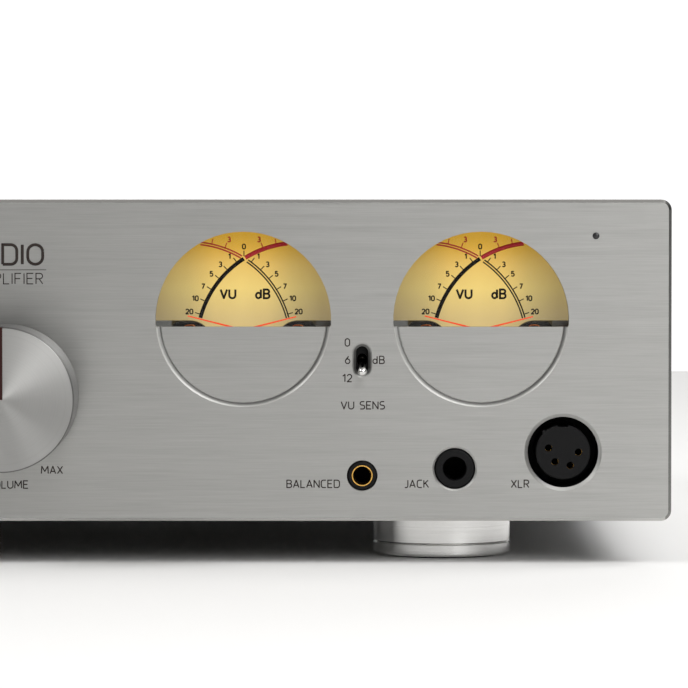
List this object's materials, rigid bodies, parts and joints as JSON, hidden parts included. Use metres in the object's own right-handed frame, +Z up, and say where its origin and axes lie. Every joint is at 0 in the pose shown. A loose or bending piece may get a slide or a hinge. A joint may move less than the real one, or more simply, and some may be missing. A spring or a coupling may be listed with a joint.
{
  "type": "headphone amplifier",
  "caption": "Full-width headphone amplifier with a brushed metal front, half-round cross-needle level meters, a large volume knob, toggle switches, headphone outlets and turned feet.",
  "frame": {"origin": "centre of the footprint, on the surface that the feet stand on", "axes": "+X across the front to the user's right, +Y from the front panel to the rear, +Z up"},
  "size_m": [0.38, 0.36, 0.1044],
  "materials": {
    "brushed_panel": "satin, brushed across the width",
    "dark_steel": "matt black powder coat",
    "case_paint": "fine-grained silver grey powder coat",
    "side_metal": "bead-blasted and anodised",
    "zinc_steel": "zinc plated",
    "screw_steel": "black oxide",
    "turned_metal": "fine turned",
    "foot_metal": "polished turned",
    "pad_rubber": "matt",
    "meter_case": "satin dark grey",
    "dial_gold": "printed, back-lit",
    "clear_glass": "clear",
    "movement_black": "satin black",
    "needle_orange": "satin orange-red",
    "lever_chrome": "polished",
    "black_plastic": "fine moulded",
    "gloss_black": "gloss",
    "lamp_lens": "translucent",
    "gold_plate": "gold plated",
    "nickel_plate": "nickel plated",
    "insulator": "moulded",
    "board_green": "solder mask",
    "capacitor_sleeve": "heat-shrink sleeve",
    "winding_tape": "polyester tape",
    "heatsink_black": "black anodised"
  },
  "bodies": {
    "chassis": {"balanced_ring": "gold_plate", "balanced_socket": "black_plastic", "bottom_plate": "case_paint", "capacitors": "capacitor_sleeve", "circuit_boards": "board_green", "contacts": "gold_plate", "cover_screws": "screw_steel", "earth_terminal": "gold_plate", "foot_bolts": "zinc_steel", "foot_front_left": "foot_metal", "foot_front_right": "foot_metal", "foot_pads": "pad_rubber", "foot_rear_left": "foot_metal", "foot_rear_right": "foot_metal", "front_panel": "brushed_panel", "front_subplate": "zinc_steel", "gain_switch": "black_plastic", "heatsinks": "heatsink_black", "infrared_lens": "gloss_black", "jack_socket": "black_plastic", "mains_inlet": "black_plastic", "meter_dial_left": "dial_gold", "meter_dial_right": "dial_gold", "meter_housing_left": "meter_case", "meter_housing_right": "meter_case", "meter_movements_left": "movement_black", "meter_movements_right": "movement_black", "meter_window_left": "clear_glass", "meter_window_right": "clear_glass", "phono_insulators": "insulator", "phono_jacks": "gold_plate", "power_lamp": "lamp_lens", "power_switch": "black_plastic", "rear_panel": "dark_steel", "rear_screws": "screw_steel", "selector_switch": "zinc_steel", "sensitivity_switch": "black_plastic", "side_panel_left": "side_metal", "side_panel_right": "side_metal", "top_cover": "case_paint", "transformer": "winding_tape", "volume_control": "zinc_steel", "xlr_inputs": "nickel_plate", "xlr_socket": "black_plastic"},
    "volume": {"volume_knob": "turned_metal", "volume_spindle": "zinc_steel", "volume_set_screw": "screw_steel"},
    "selector": {"selector_knob": "turned_metal", "selector_spindle": "zinc_steel"},
    "sensitivity_toggle": {"sensitivity_lever": "lever_chrome"},
    "gain_toggle": {"gain_lever": "lever_chrome"},
    "power_key": {"power_button": "turned_metal"},
    "needle_level_left": {"level_needle_left": "needle_orange"},
    "needle_second_left": {"second_needle_left": "needle_orange"},
    "needle_level_right": {"level_needle_right": "needle_orange"},
    "needle_second_right": {"second_needle_right": "needle_orange"},
    "fuse_tray": {"fuse_drawer": "black_plastic"},
    "mains_rocker": {"power_rocker": "gloss_black"},
    "latch_left": {"xlr_latch_left": "nickel_plate"},
    "latch_right": {"xlr_latch_right": "nickel_plate"}
  },
  "joints": [
    {"name": "volume_turn", "type": "hinge", "parent": "chassis", "child": "volume", "pos_m": [0, -0.161, 0.0484], "axis": [0, -1, 0], "range_deg": [-150, 150]},
    {"name": "selector_turn", "type": "hinge", "parent": "chassis", "child": "selector", "pos_m": [-0.1015, -0.161, 0.0701], "axis": [0, -1, 0], "range_deg": [-30, 30]},
    {"name": "sensitivity_flip", "type": "hinge", "parent": "chassis", "child": "sensitivity_toggle", "pos_m": [0.1015, -0.146, 0.05846], "axis": [-1, 0, 0], "range_deg": [0, 26]},
    {"name": "gain_flip", "type": "hinge", "parent": "chassis", "child": "gain_toggle", "pos_m": [-0.0675, -0.146, 0.05846], "axis": [-1, 0, 0], "range_deg": [0, 26]},
    {"name": "power_press", "type": "slide", "parent": "chassis", "child": "power_key", "axis": [0, 1, 0], "range_m": [0, 0.0025], "stiffness_N_per_m": 350},
    {"name": "level_swing_left", "type": "hinge", "parent": "chassis", "child": "needle_level_left", "pos_m": [0.08305, -0.144, 0.063], "axis": [0, 1, 0], "range_deg": [0, 68]},
    {"name": "second_swing_left", "type": "hinge", "parent": "chassis", "child": "needle_second_left", "pos_m": [0.05195, -0.143, 0.063], "axis": [0, -1, 0], "range_deg": [0, 68]},
    {"name": "level_swing_right", "type": "hinge", "parent": "chassis", "child": "needle_level_right", "pos_m": [0.15105, -0.144, 0.063], "axis": [0, 1, 0], "range_deg": [0, 68]},
    {"name": "second_swing_right", "type": "hinge", "parent": "chassis", "child": "needle_second_right", "pos_m": [0.11995, -0.143, 0.063], "axis": [0, -1, 0], "range_deg": [0, 68]},
    {"name": "fuse_pull", "type": "slide", "parent": "chassis", "child": "fuse_tray", "axis": [0, 1, 0], "range_m": [0, 0.015]},
    {"name": "mains_flip", "type": "hinge", "parent": "chassis", "child": "mains_rocker", "pos_m": [-0.142, 0.168, 0.0724], "axis": [1, 0, 0], "range_deg": [0, 24]},
    {"name": "latch_press_left", "type": "slide", "parent": "chassis", "child": "latch_left", "axis": [0, -1, 0], "range_m": [0, 0.0015], "stiffness_N_per_m": 300},
    {"name": "latch_press_right", "type": "slide", "parent": "chassis", "child": "latch_right", "axis": [0, -1, 0], "range_m": [0, 0.0015], "stiffness_N_per_m": 300}
  ]
}
